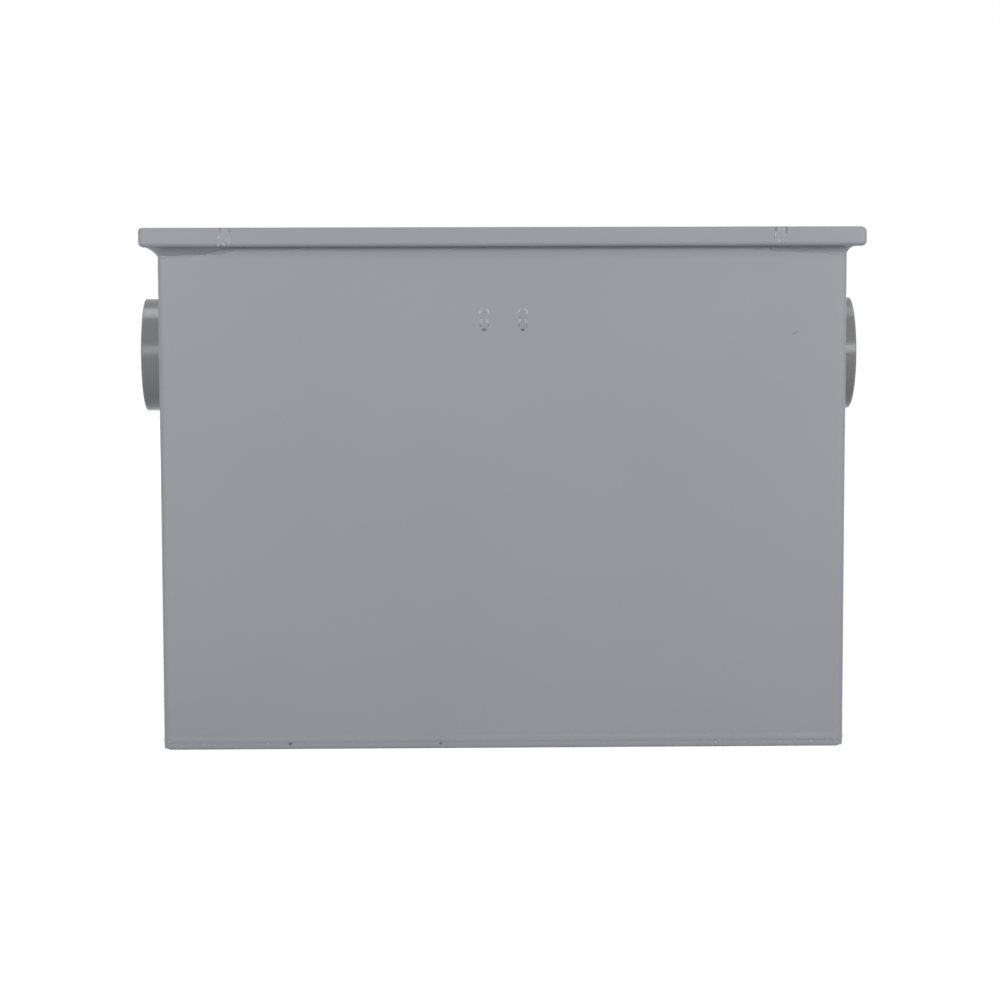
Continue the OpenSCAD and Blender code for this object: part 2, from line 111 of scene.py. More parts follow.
def principled(name, colour, roughness, metallic=0.0):
    """A new material and its Principled shader, with the values that are the same all over."""
    mat = bpy.data.materials.new(name)
    mat.use_nodes = True
    shader = mat.node_tree.nodes["Principled BSDF"]
    shader.inputs["Base Color"].default_value = (*colour, 1)
    shader.inputs["Roughness"].default_value = roughness
    shader.inputs["Metallic"].default_value = metallic
    return mat, shader


def srgb(r, g, b):
    """Linear colour of an sRGB one given in 0 to 255."""
    def linear(c):
        c /= 255
        return c / 12.92 if c <= 0.04045 else ((c + 0.055) / 1.055) ** 2.4
    return linear(r), linear(g), linear(b)


def noise_node(tree, scale, detail, roughness=0.5, distortion=0.0):
    """Noise laid out by a piece's own coordinates, so that it stays on the piece when that moves."""
    coords = tree.nodes.new("ShaderNodeTexCoord")
    node = tree.nodes.new("ShaderNodeTexNoise")
    node.inputs["Scale"].default_value = scale
    node.inputs["Detail"].default_value = detail
    node.inputs["Roughness"].default_value = roughness
    node.inputs["Distortion"].default_value = distortion
    tree.links.new(coords.outputs["Object"], node.inputs["Vector"])
    return node


def ramp(tree, source, stops):
    """Colour ramp from a factor: stops are (place, linear colour)."""
    node = tree.nodes.new("ShaderNodeValToRGB")
    tree.links.new(source, node.inputs["Fac"])
    while len(node.color_ramp.elements) < len(stops):
        node.color_ramp.elements.new(0.5)
    for element, (place, colour) in zip(node.color_ramp.elements, stops):
        element.position = place
        element.color = (*colour, 1)
    return node.outputs["Color"]


def value_range(tree, source, low, high, from_low=0.3, from_high=0.7):
    """Maps a factor to a range of values."""
    node = tree.nodes.new("ShaderNodeMapRange")
    node.inputs["From Min"].default_value = from_low
    node.inputs["From Max"].default_value = from_high
    node.inputs["To Min"].default_value = low
    node.inputs["To Max"].default_value = high
    tree.links.new(source, node.inputs["Value"])
    return node.outputs["Result"]


def bump(tree, shader, source, distance, strength=1.0, under=None):
    """Bump from a factor, on top of another bump where one is given."""
    node = tree.nodes.new("ShaderNodeBump")
    node.inputs["Distance"].default_value = distance
    node.inputs["Strength"].default_value = strength
    tree.links.new(source, node.inputs["Height"])
    if under:
        tree.links.new(under, node.inputs["Normal"])
    tree.links.new(node.outputs["Normal"], shader.inputs["Normal"])
    return node.outputs["Normal"]


def uneven_gloss(tree, shader, roughness, spread, scale, detail):
    """Slow changes of roughness by as much as spread to both sides."""
    gloss = noise_node(tree, scale, detail)
    rough = value_range(tree, gloss.outputs["Fac"], roughness - spread, roughness + spread)
    tree.links.new(rough, shader.inputs["Roughness"])


def paint(name, light, mid, dark, roughness, peel):
    """Sprayed satin enamel: faint clouds of tone, orange peel and slow changes of gloss."""
    mat, shader = principled(name, mid, roughness)
    tree = mat.node_tree
    clouds = noise_node(tree, CLOUD_SCALE, detail=3.0, roughness=0.45, distortion=0.4)
    colour = ramp(tree, clouds.outputs["Fac"], [(0.34, dark), (0.5, mid), (0.66, light)])
    tree.links.new(colour, shader.inputs["Base Color"])
    uneven_gloss(tree, shader, roughness, PAINT_GLOSS_SPREAD, PAINT_GLOSS_SCALE, detail=4.0)
    waves = noise_node(tree, WAVE_SCALE, detail=2.0)
    rolled = bump(tree, shader, waves.outputs["Fac"], WAVE_DEPTH, strength=0.5)
    grain = noise_node(tree, PEEL_SCALE, detail=1.0)
    bump(tree, shader, grain.outputs["Fac"], peel, under=rolled)
    return mat


def brushed(name, colour, roughness, grain_scale, grain_depth):
    """Turned or rolled bare metal with fine grain and slow changes of gloss."""
    mat, shader = principled(name, colour, roughness, metallic=1.0)
    tree = mat.node_tree
    uneven_gloss(tree, shader, roughness, METAL_GLOSS_SPREAD, METAL_GLOSS_SCALE, detail=5.0)
    grain = noise_node(tree, grain_scale, detail=4.0)
    bump(tree, shader, grain.outputs["Fac"], grain_depth)
    return mat


def mottled(name, dark, pale, roughness, scale, grain):
    """Dull surface in two tones, such as moulded rubber, or the painted shade in the mouth of a pore."""
    mat, shader = principled(name, dark, roughness)
    tree = mat.node_tree
    bloom = noise_node(tree, scale, detail=4.0)
    colour = ramp(tree, bloom.outputs["Fac"], [(0.4, dark), (0.7, pale)])
    tree.links.new(colour, shader.inputs["Base Color"])
    fine = noise_node(tree, FINE_SCALE, detail=1.0)
    bump(tree, shader, fine.outputs["Fac"], grain)
    return mat


# Paints from light to dark tone, then roughness and the depth of the orange peel
TANK_PAINT = paint(
    "tank_paint", srgb(160, 161, 167), srgb(159, 160, 166), srgb(158, 159, 165), 0.42, 0.012 * MM)
PIPE_PAINT = paint(
    "pipe_paint", srgb(142, 143, 144), srgb(140, 140, 141), srgb(137, 138, 138), 0.22, 0.006 * MM)
INNER_PAINT = paint(
    "inner_paint", srgb(160, 161, 165), srgb(156, 157, 161), srgb(151, 152, 156), 0.48, 0.020 * MM)
COVER_PAINT = paint(
    "cover_paint", srgb(162, 163, 168), srgb(158, 159, 164), srgb(153, 155, 160), 0.42, 0.016 * MM)
WELD_PAINT = paint(
    "weld_paint", srgb(161, 162, 168), srgb(159, 160, 166), srgb(156, 157, 163), 0.28, 0.014 * MM)

# Bare metals: linear colour, roughness, scale and depth of the grain
STAINLESS = brushed("stainless", (0.62, 0.61, 0.59), 0.28, 1400.0, 0.004 * MM)
BRIGHT_STEEL = brushed("bright_steel", (0.52, 0.52, 0.51), 0.38, 1100.0, 0.006 * MM)
BRASS = brushed("brass", (0.62, 0.43, 0.16), 0.34, 800.0, 0.012 * MM)

# Dull surfaces: dark and pale tone, roughness, scale of the mottling and depth of the grain
RUBBER = mottled("rubber", srgb(34, 34, 36), srgb(52, 52, 54), 0.75, 130.0, 0.03 * MM)
# Dark grey standing in for the shade inside a pore's mouth: painted shade
PORE_SHADE = mottled("pore_shade_paint", srgb(108, 108, 111), srgb(122, 122, 125), 0.8, 1500.0, 0.03 * MM)
# Darker grey standing in for the shade along a weld's undercut edges: painted shade
UNDERCUT_SHADE = mottled("undercut_shade_paint", srgb(126, 127, 130), srgb(138, 139, 142), 0.7, 1200.0, 0.02 * MM)
# Pale paint standing in for glints on small drips of paint: painted highlight
GLINT_PAINT = mottled("glint_paint", srgb(176, 178, 182), srgb(187, 189, 193), 0.38, 1200.0, 0.02 * MM)
CHIP = mottled("chip", srgb(126, 128, 132), srgb(140, 142, 146), 0.6, 1200.0, 0.02 * MM)
SPECK = mottled("speck", srgb(146, 148, 153), srgb(154, 156, 161), 0.5, 1200.0, 0.01 * MM)

SLOT_MATERIALS = {
    "tank_paint": TANK_PAINT, "pipe_paint": PIPE_PAINT, "inner_paint": INNER_PAINT,
    "cover_paint": COVER_PAINT, "stainless": STAINLESS, "bright_steel": BRIGHT_STEEL,
    "brass": BRASS, "rubber": RUBBER,
}

for part in frame["record"]["subparts"]:
    piece = nodes[part["node"]]
    piece.data.materials.clear()
    piece.data.materials.append(SLOT_MATERIALS[part["material_slot"]])


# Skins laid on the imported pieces, for welds and marks

# Distance between stations, and how far below the surface a skin's edges lie
STEP = 0.55 * MM
SINK = 0.12 * MM
# Part of the sink that a skin's feathered edge makes up again
FEATHER_SHARE = 0.9
# How far apart the seeds of wander and shake lie in the noise
WANDER_SEED_STEP = 7.31
SHAKE_SEED_STEP = 3.7


def mesh_piece(name, verts, faces, out, material):
    """A new piece on the tank whose first face looks along out."""
    a, b, c = (verts[i] for i in faces[0][:3])
    if (b - a).cross(c - a).dot(out) < 0:
        faces = [face[::-1] for face in faces]
    mesh = bpy.data.meshes.new(name)
    mesh.from_pydata([tuple(v) for v in verts], [], faces)
    mesh.validate()
    mesh.update()
    mesh.polygons.foreach_set("use_smooth", [True] * len(mesh.polygons))
    obj = bpy.data.objects.new(name, mesh)
    bpy.context.scene.collection.objects.link(obj)
    obj.data.materials.append(material)
    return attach(obj, "root")


def skin(name, stations, shape, across, closed=False):
    """Painted strip along stations of (point, sideways, outward).

    shape(t, run, length) gives the sideways shift and the height at t from -1 to 1 across the strip.
    """
    runs = [0.0]
    for (here, _, _), (there, _, _) in zip(stations, stations[1:]):
        runs.append(runs[-1] + (there - here).length)
    verts = []
    for (point, side, out), run in zip(stations, runs):
        for k in range(across + 1):
            shift, height = shape(2 * k / across - 1, run, runs[-1])
            verts.append(point + side * shift + out * (height - SINK))
    row = across + 1
    rings = len(stations)
    faces = []
    for i in range(rings if closed else rings - 1):
        a = i * row
        b = (i + 1) % rings * row
        for k in range(across):
            faces.append((a + k, b + k, b + k + 1, a + k + 1))
    return mesh_piece(name, verts, faces, stations[0][2], WELD_PAINT)


def wander(run, seed, scale=90.0):
    """Slow random change along a weld, from -1 to 1."""
    return noise.noise(Vector((run * scale, seed * WANDER_SEED_STEP, 0.5)))


def shake(across, run, seed, scale):
    """Random change over a surface, from -1 to 1."""
    return noise.noise(Vector((across * scale, run * scale, seed * SHAKE_SEED_STEP)))


def smooth(value, low, high):
    """Rises from 0 at low to 1 at high."""
    t = min(1.0, max(0.0, (value - low) / (high - low)))
    return t * t * (3 - 2 * t)


def spaced(start, end, step):
    """Points from start to end, both included, about a step apart."""
    count = max(2, round((end - start).length / step))
    return [start.lerp(end, i / count) for i in range(count + 1)]


def straight(start, end, side, out, step=STEP):
    """Stations of a straight strip."""
    return [(p, Vector(side), Vector(out)) for p in spaced(Vector(start), Vector(end), step)]


def blob(name, centre, out, radius, height, seed, material, flat=1.0, tilt=0.0):
    """Small rounded spot on a wall, such as the painted shade in a pore's mouth, or a chip.

    It is flat times as tall as it is wide, and turned by tilt degrees about out.
    """
    rings = 5
    spokes = 20
    uneven_share = 0.35
    lobes = 1.6
    edge_sink = 0.05 * MM
    out = Vector(out)
    turn = Matrix.Rotation(math.radians(tilt), 3, out)
    side = turn @ UP.cross(out)
    tall = turn @ UP
    verts = [Vector(centre) + out * height]
    for i in range(1, rings + 1):
        t = i / rings
        lift = height * (1 - t * t) - edge_sink * t
        for k in range(spokes):
            a = 2 * math.pi * k / spokes
            draw = noise.noise(Vector((math.cos(a) * lobes, math.sin(a) * lobes, seed)))
            r = radius * t * (1 + uneven_share * draw)
            point = Vector(centre) + side * (r * math.cos(a)) + tall * (r * flat * math.sin(a))
            verts.append(point + out * lift)
    faces = [(0, 1 + k, 1 + (k + 1) % spokes) for k in range(spokes)]
    for i in range(rings - 1):
        for k in range(spokes):
            a = 1 + i * spokes + k
            b = 1 + i * spokes + (k + 1) % spokes
            faces.append((a, a + spokes, b + spokes, b))
    return mesh_piece(name, verts, faces, out, material)


# Weld beads, and the weld along the bottom

RIPPLE_PITCH = 2.2 * MM
END_FADE = 2 * MM


def bead(name, stations, width, height, seed, closed=False, across=10, uneven_share=0.25,
         ripple_share=0.3):
    """Weld bead with crescent ripples and a hand's unevenness."""
    drift_share = 0.12
    end_share = 0.4
    height_factor = 1.4
    sag = 0.45

    def shape(t, run, length):
        ends = 1.0 if closed else min(1.0, min(run, length - run) / END_FADE) ** 0.5
        w = width * (1 + uneven_share * wander(run, seed)) * (end_share + (1 - end_share) * ends)
        h = height * (1 + height_factor * uneven_share * wander(run, seed + 50)) * ends
        drift = drift_share * width * wander(run, seed + 90, scale=40.0)
        crest = 1 - ripple_share * ((run / RIPPLE_PITCH + sag * t * t) % 1.0) ** 1.5
        return w * t / 2 + drift, h * (1 - t * t) ** 0.75 * crest
    return skin(name, stations, shape, across, closed)


def round_the_walls(z):
    """Stations once round the tank's upright faces at one height."""
    turn = 14
    step = 1.1 * MM
    stations = []
    cx = half_l - FOLD_R
    cy = half_w - FOLD_R
    corners = [(cx, -cy, -90), (cx, cy, 0), (-cx, cy, 90), (-cx, -cy, 180)]
    for i, (x, y, start) in enumerate(corners):
        for k in range(turn + 1):
            a = math.radians(start + 90 * k / turn)
            out = Vector((math.cos(a), math.sin(a), 0))
            stations.append((Vector((x, y, z)) + out * FOLD_R, UP, out))
        nx, ny, _ = corners[(i + 1) % 4]
        run = spaced(Vector((x, y, z)) + out * FOLD_R, Vector((nx, ny, z)) + out * FOLD_R, step)
        stations += [(p, UP, out) for p in run[1:-1]]
    return stations


def bottom_seam():
    """Weld between the wall sheet and the bottom tray.

    It is ground to a slow rise that falls off at its foot, with a faint hump below.
    """
    above_joint = 2.0 * MM
    reach = 6.0 * MM
    crest = 0.30 * MM
    top_start = -0.8 * MM
    top_end = 4.2 * MM
    foot_start = -2.9 * MM
    foot_end = -0.6 * MM
    hump_z = -4.1 * MM
    hump_reach = 0.8 * MM
    hump_share = 0.30
    stray = 0.2 * MM
    fast_share = 0.35
    slow_share = 0.3

    def shape(t, run, length):
        z = t * reach
        fast = fast_share * wander(run, seed=3, scale=260.0)
        top = crest * (1 + fast + slow_share * wander(run, seed=8, scale=60.0))
        rise = top * (1 - smooth(z, top_start, top_end)) * smooth(z, foot_start, foot_end)
        rise += hump_share * top * math.exp(-((z - hump_z) / hump_reach) ** 2)
        return z + stray * wander(run, seed=5, scale=50.0), SINK * (1 - abs(t) ** 6) + rise
    skin("bottom_seam_weld", round_the_walls(seam_z + above_joint), shape, across=24, closed=True)


# Welds across the rim's lip

# How far above the lip's underside its welds end, at the inlet and at the outlet
LIP_WELD_FOOT = {-1: 1.0 * MM, 1: 2.5 * MM}
# How far a long wall's lip welds lie from the joint's line, towards the wall's middle
LIP_WELD_SHIFT = 1.2 * MM

# Marks on a lip's weld at the inlet and at the outlet: kind, mm from the weld's middle, mm above the
# lip's underside, radius in mm, times as tall as wide, and tilt in degrees
LIP_MARKS = {
    -1: (
        ("edge", -3.2, 11.8, 0.78, 2.6, 4),
        ("edge", 3.1, 11.2, 0.75, 3.6, -2),
        ("fleck", -4.7, 6.7, 1.15, 1.1, 0),
        ("fleck", -4.7, 2.0, 0.90, 1.4, 0),
        ("fleck", -1.5, 2.4, 0.80, 2.4, 54),
        ("fleck", 2.8, 3.1, 0.60, 2.9, -20),
        ("fleck", -1.6, 11.9, 0.50, 1.4, -30),
        ("fleck", -7.0, 5.4, 0.40, 1.2, 40),
    ),
    1: (
        ("edge", -3.6, 12.2, 0.70, 2.2, 0),
        ("edge", 3.7, 11.2, 0.85, 3.0, -9),
        ("fleck", 1.7, 12.0, 0.75, 1.3, -35),
        ("fleck", -4.1, 7.0, 0.52, 5.4, -2),
        ("fleck", -1.2, 3.3, 0.95, 1.0, 0),
        ("fleck", -2.6, 4.6, 0.45, 2.6, 50),
        ("fleck", -1.0, 12.2, 0.60, 1.6, 75),
    ),
}
# Material of each kind of mark, its height, and how far out from the lip it lies: an edge is painted shade
# in the undercut, a fleck a pale painted highlight
MARK_LOOKS = {"edge": (UNDERCUT_SHADE, 0.06 * MM, 0.12 * MM), "fleck": (GLINT_PAINT, 0.18 * MM, 0.34 * MM)}


def lip_path(out, side, at):
    """Stations up a rim's lip, from its underside to its top edge."""
    fold_start = -80
    fold_steps = 8
    step = 0.4 * MM
    top_gap = 0.4 * MM
    stations = []
    face = at + out * rim_reach
    centre = at + out * (rim_reach - RIM_FOLD_OUT) + UP * (SHELF_Z + RIM_FOLD_OUT)
    for k in range(fold_steps):
        a = math.radians(fold_start - fold_start * k / fold_steps)
        n = out * math.cos(a) + UP * math.sin(a)
        stations.append((centre + n * RIM_FOLD_OUT, side, n))
    top_edge = face + UP * (rim_top - top_gap)
    return stations + straight(face + UP * (SHELF_Z + RIM_FOLD_OUT), top_edge, side, out, step)


def butt_weld(name, stations, foot, seed):
    """Weld across the lip, dressed down to a low uneven patch that ends foot above the lip's underside."""
    half = 3.6 * MM
    reach = 5.5 * MM
    height = 0.20 * MM
    lumps = 0.10 * MM
    grain = 0.06 * MM
    edge_out = -0.2 * MM
    edge_in = 0.7 * MM
    fade = 0.8 * MM
    top_fade = 0.9 * MM
    wavy_share = 0.08

    def shape(t, run, length):
        u = t * reach
        wide = half * (1 + wavy_share * shake(0, run, seed, scale=300.0))
        inside = smooth(min(wide - abs(u), run - foot), edge_out, edge_in)
        uneven = lumps * shake(u, run, seed + 9, scale=420.0) + grain * shake(u, run, seed + 4, scale=900.0)
        ends = smooth(min(reach - abs(u), run), 0.0, fade) * smooth(length - run, 0.0, top_fade)
        return u, SINK * ends * FEATHER_SHARE + (height + uneven) * inside * ends
    skin(name, stations, shape, across=40)


def lip_marks(name, at, along, out, sx):
    """Painted shade along the undercut edges, and small flecks with a pale painted highlight, of one lip
    weld.
    """
    for i, (kind, u, z, r, flat, tilt) in enumerate(LIP_MARKS[sx]):
        material, height, lift = MARK_LOOKS[kind]
        centre = at + along * (u * MM) + out * (rim_reach + lift) + UP * (SHELF_Z + z * MM)
        blob(f"{name}_{kind}_{i}", centre, out, r * MM, height, i + u, material, flat, tilt)


def rim_butt_welds():
    """Eight welds across the lip, where the folded rim meets the corner pieces."""
    seed = 11
    for sx in (-1, 1):
        for sy in (-1, 1):
            out_x, out_y = Vector((sx, 0, 0)), Vector((0, sy, 0))
            long_at = Vector((sx * (leg_x - LIP_WELD_SHIFT), sy * half_w, 0))
            end_at = Vector((sx * half_l, sy * leg_y, 0))
            joints = (
                ("long", out_y, Vector((1, 0, 0)), long_at),
                ("end", out_x, Vector((0, 1, 0)), end_at),
            )
            for wall, out, along, at in joints:
                name = f"rim_butt_weld_{END_NAME[sx]}_{WALL_NAME[sy]}_{wall}"
                butt_weld(name, lip_path(out, along, at), LIP_WELD_FOOT[sx], seed)
                lip_marks(name, at, along, out, sx)
                seed += 3


# Welds along the coves under the rim

# Leg of the fillet at the end of a cove, by how far along it is, in mm: the outlet's is the smaller
TAIL_LEGS = {
    -1: ((0, 4.6), (7, 5.5), (14, 5.4), (21, 3.4), (28, 1.2)),
    1: ((0, 4.4), (8, 4.3), (14, 4.2), (20, 4.3), (24, 3.8), (25.5, 0.8)),
}
# How far past a cove's ramp, towards the corner, its tail starts
TAIL_LAP = 2 * MM


def cove_path(sx, sy):
    """Stations along the foot of a corner's cove, from the long wall round the fold to the end wall."""
    turn = 12
    drop_before = 2.2 * FOLD_R
    low = SHELF_Z - COVE_H[sx]
    high = SHELF_Z - COVE_H[sx] * COVE_EDGE_SHARE
    out_x, out_y = Vector((sx, 0, 0)), Vector((0, sy, 0))
    cx = sx * (half_l - FOLD_R)
    cy = sy * (half_w - FOLD_R)
    long_wall = [
        Vector((sx * (leg_x + COVE_RAMP), sy * half_w, high)),
        Vector((sx * (half_l - FOLD_R - COVE_RAMP), sy * half_w, high)),
        Vector((sx * (half_l - drop_before), sy * half_w, low)),
        Vector((cx, sy * half_w, low)),
    ]
    stations = []
    for start, end in zip(long_wall, long_wall[1:]):
        stations += straight(start, end, DOWN, out_y)[:-1]
    for k in range(turn):
        a = math.pi / 2 * k / turn
        out = out_y * math.cos(a) + out_x * math.sin(a)
        stations.append((Vector((cx, cy, low)) + out * FOLD_R, DOWN, out))
    end_wall = (sx * half_l, sy * (leg_y + COVE_RAMP), low)
    return stations + straight((sx * half_l, cy, low), end_wall, DOWN, out_x)


def cove_welds():
    """A soft fillet along the foot of each corner's cove, and a tail past each of its two ends."""
    seed = 60
    tail_start = COVE_RAMP + TAIL_LAP
    for sx in (-1, 1):
        for sy in (-1, 1):
            label = f"{END_NAME[sx]}_{WALL_NAME[sy]}"
            out_x, out_y = Vector((sx, 0, 0)), Vector((0, sy, 0))
            long_at = Vector((sx * (leg_x + tail_start), sy * half_w, SHELF_Z))
            end_at = Vector((sx * half_l, sy * (leg_y + tail_start), SHELF_Z))
            soft_fillet(f"cove_weld_{label}", cove_path(sx, sy), seed)
            cove_tail(f"cove_tail_{label}_long", long_at, -out_x, out_y, sx, seed + 1)
            cove_tail(f"cove_tail_{label}_end", end_at, -out_y, out_x, sx, seed + 2)
            seed += 5


def soft_fillet(name, stations, seed):
    """Thin feathered bead with a wavy edge, laid where two faces meet at a wide angle."""
    half = 1.7 * MM
    top = 0.20 * MM
    slow_wave = 0.45 * MM
    fast_wave = 0.25 * MM
    uneven_share = 0.7

    def shape(t, run, length):
        ends = smooth(min(run, length - run), 0.0, END_FADE)
        wave = slow_wave * wander(run, seed, scale=110.0) + fast_wave * wander(run, seed + 7, scale=380.0)
        height = top * (1 - t * t) * (1 + uneven_share * wander(run, seed + 3, scale=240.0))
        return half * t + wave, (SINK * FEATHER_SHARE * (1 - t ** 4) + height) * ends
    skin(name, stations, shape, across=8)


def cove_tail(name, start, along, out, sx, seed):
    """Fillet weld that carries a cove on past its ramp, between the wall and the shelf."""
    hollow_share = 0.22
    uneven_share = 0.10
    grain = 0.1 * MM
    legs = TAIL_LEGS[sx]
    lean = (out - UP).normalized()
    side = (out + UP).normalized()
    end = start + along * (legs[-1][0] * MM)

    def leg(run):
        for (a, leg_a), (b, leg_b) in zip(legs, legs[1:]):
            if run <= b * MM:
                return (leg_a + (leg_b - leg_a) * smooth(run / MM, a, b)) * MM
        return legs[-1][1] * MM

    def shape(t, run, length):
        size = leg(run) * (1 + uneven_share * wander(run, seed, scale=200.0)) / math.sqrt(2)
        hollow = hollow_share * size * (1 - t * t)
        return t * size, size - hollow + grain * shake(t * size, run, seed, scale=500.0) + SINK
    skin(name, straight(start, end, side, lean), shape, across=10)


# Welds round the pipes

def ring_stations(centre, axis, radius, lean, count=420):
    """Stations round a pipe where it meets a wall.

    The bead's face leans by that angle from the pipe's axis towards the side.
    """
    axis = Vector(axis)
    u = Vector((0, 1, 0))
    v = axis.cross(u)
    stations = []
    for i in range(count):
        a = 2 * math.pi * i / count
        radial = u * math.cos(a) + v * math.sin(a)
        out = (radial * math.sin(lean) + axis * math.cos(lean)).normalized()
        side = (radial * math.cos(lean) - axis * math.sin(lean)).normalized()
        stations.append((Vector(centre) + radial * radius, side, out))
    return stations


def stub_welds():
    """Beads on the fillets round the roots of the two pipes."""
    lean = math.radians(45)
    for sx, seed in ((-1, 81), (1, 87)):
        centre = (sx * (half_l + PIPE_WELD / 2), 0, pipe_z)
        stations = ring_stations(centre, (sx, 0, 0), PIPE_R + PIPE_WELD / 2, lean)
        bead(f"{END_NAME[sx]}_stub_weld", stations, width=5.6 * MM, height=0.75 * MM, seed=seed,
             closed=True, uneven_share=0.3, ripple_share=0.45)


# Plug welds high on the long walls

# The two puddles of a plug weld: its middle above the tab's, half its width, half its height, the share
# by which it narrows downwards, its height in mm, the width of its flank, and over how many degrees to
# each side of its top the flank is steep
PUDDLES = (
    (3.4 * MM, 4.0 * MM, 4.8 * MM, 0.0, 0.30, 1.35 * MM, 16.0),
    (-3.4 * MM, 3.2 * MM, 4.6 * MM, 0.5, 0.27, 1.15 * MM, 30.0),
)
STEEP_SHARE = 0.75


def puddle(u, z, spec):
    """Height of one puddle in mm: a low plate with sloping flanks, steep at the top."""
    middle, half_u, half_z, taper_share, height, flank, steep_angle = spec
    dz = z - middle
    narrow = 1 - taper_share * smooth(-dz / half_z, -0.2, 1.0)
    rho = math.hypot(u / (half_u * narrow), dz / half_z)
    angle = math.degrees(math.atan2(u / half_u, dz / half_z))
    cliff = 1 - STEEP_SHARE * math.exp(-(angle / steep_angle) ** 2)
    inside = (1 - rho) * half_u * narrow / (flank * cliff)
    return height * min(1.0, max(0.0, inside))


def plug_weld(name, x, sy, seed):
    """Slot weld over a cross-bar tab: one puddle over a smaller one."""
    step = 0.26 * MM
    reach = 5.6 * MM
    stray = 0.12 * MM
    fade = 1.0 * MM
    foot = TAB_Z - 9.5 * MM
    top = TAB_Z + 11 * MM
    # In mm, as the puddles' heights are
    grain = 0.02
    bare = 0.05
    stations = straight((x, sy * half_w, foot), (x, sy * half_w, top), (1, 0, 0), (0, sy, 0), step)

    def shape(t, run, length):
        u = t * reach + stray * shake(t * reach, run, seed, scale=300.0)
        z = foot + run - TAB_Z
        lift = max(puddle(u, z, spec) for spec in PUDDLES)
        lift += grain * shake(u, run, seed + 5, scale=800.0) * (lift > bare)
        ends = smooth(min(reach - abs(t * reach), run, length - run), 0.0, fade)
        return t * reach, SINK * FEATHER_SHARE * ends + lift * MM * ends
    skin(name, stations, shape, across=44)


def plug_marks(label, sx, sy):
    """Painted shade in the pore under a plug weld, and along the undercut edge on each side of its lower
    puddle.
    """
    pore_out = 0.30 * MM
    pore_drop = 8.0 * MM
    pore_r = 1.30 * MM
    edge_off = 2.9 * MM
    edge_drop = 5.0 * MM
    edge_r = 0.45 * MM
    height = 0.10 * MM
    out = (0, sy, 0)
    pore_at = (sx * TAB_X, sy * (half_w + pore_out), TAB_Z - pore_drop)
    # Disc of painted shade in the mouth of the pore under the tab
    blob(f"plug_pore_shade_{label}", pore_at, out, pore_r, height, 2.0 + sx, PORE_SHADE, flat=0.66)
    # Narrow strips of painted shade along the lower puddle's undercut
    for side in (-1, 1):
        edge_at = (sx * TAB_X + side * edge_off, sy * half_w, TAB_Z - edge_drop)
        blob(f"plug_edge_{label}_{side + 1}", edge_at, out, edge_r, height, 5.0 + side, UNDERCUT_SHADE,
             flat=4.6, tilt=sy * side * 8)


def plug_welds():
    """Two slot welds on each long wall, with their marks."""
    for sy in (-1, 1):
        for sx in (-1, 1):
            label = f"{WALL_NAME[sy]}_{END_NAME[sx]}"
            plug_weld(f"plug_weld_{label}", sx * TAB_X, sy, 3.0 + sx + 2 * sy)
            plug_marks(label, sx, sy)


# Marks on the photographed wall, in mm along it and up from the floor

# Painted shade in the mouths of pores in the bottom weld: x, z, radius and times as tall as wide
SEAM_PORE_SHADES = (
    ("seam_pore_shade_a", -157.3, 5.0, 1.5, 0.95),
    ("seam_pore_shade_b", -46.8, 4.5, 1.1, 0.9),
)
# Small raised paint flecks, each with a pale painted highlight: x, z, radius, times as tall as wide, and
# tilt in degrees
RESTART_GLINT_FLECKS = (
    (153.2, 2.2, 0.5, 2.0, 40),
    (156.0, 3.6, 0.5, 2.6, 40),
    (158.6, 5.2, 0.45, 2.4, 20),
)
SEAM_GLINT_FLECKS = (
    (-246.2, 6.6, 0.5, 1.6, -20),
    (-237.0, 3.2, 0.5, 1.0, 0),
    (-229.6, 5.2, 0.3, 0.5, 0),
    (-220.9, 4.6, 0.4, 2.4, 70),
    (-174.0, 5.2, 0.35, 3.5, 70),
    (-111.3, 5.6, 0.35, 3.2, 70),
    (177.4, 3.6, 0.35, 3.4, 82),
    (191.4, 3.6, 0.35, 3.8, 94),
    (203.0, 3.8, 0.4, 2.4, 80),
    (214.0, 5.4, 0.35, 2.0, 86),
    (226.0, 4.2, 0.4, 2.8, 84),
    (238.0, 5.4, 0.4, 2.2, 40),
)
CORNER_GLINT_FLECKS = (
    (243.4, 5.8, 0.4, 1.8, 80),
    (245.0, 3.9, 0.45, 1.6, 60),
    (244.6, 2.4, 0.4, 1.2, 50),
)
COVE_GLINT_FLECKS = (
    (-246.6, 361.2, 0.6, 0.7, 0),
    (-220.4, 362.3, 0.6, 1.7, 74),
    (-215.2, 361.9, 0.45, 2.0, 66),
    (246.4, 362.0, 0.5, 1.0, 0),
)
# Chip in the paint, in two spots: x, z and radius
CHIP_SPOTS = ((211.6, 304.8, 1.5), (213.6, 305.8, 1.2))
# Specks in the paint: x and z
SPECK_SPOTS = ((-172.4, 248.1), (-168.0, 246.7), (-159.4, 240.8), (-158.7, 235.0), (-155.1, 232.8))


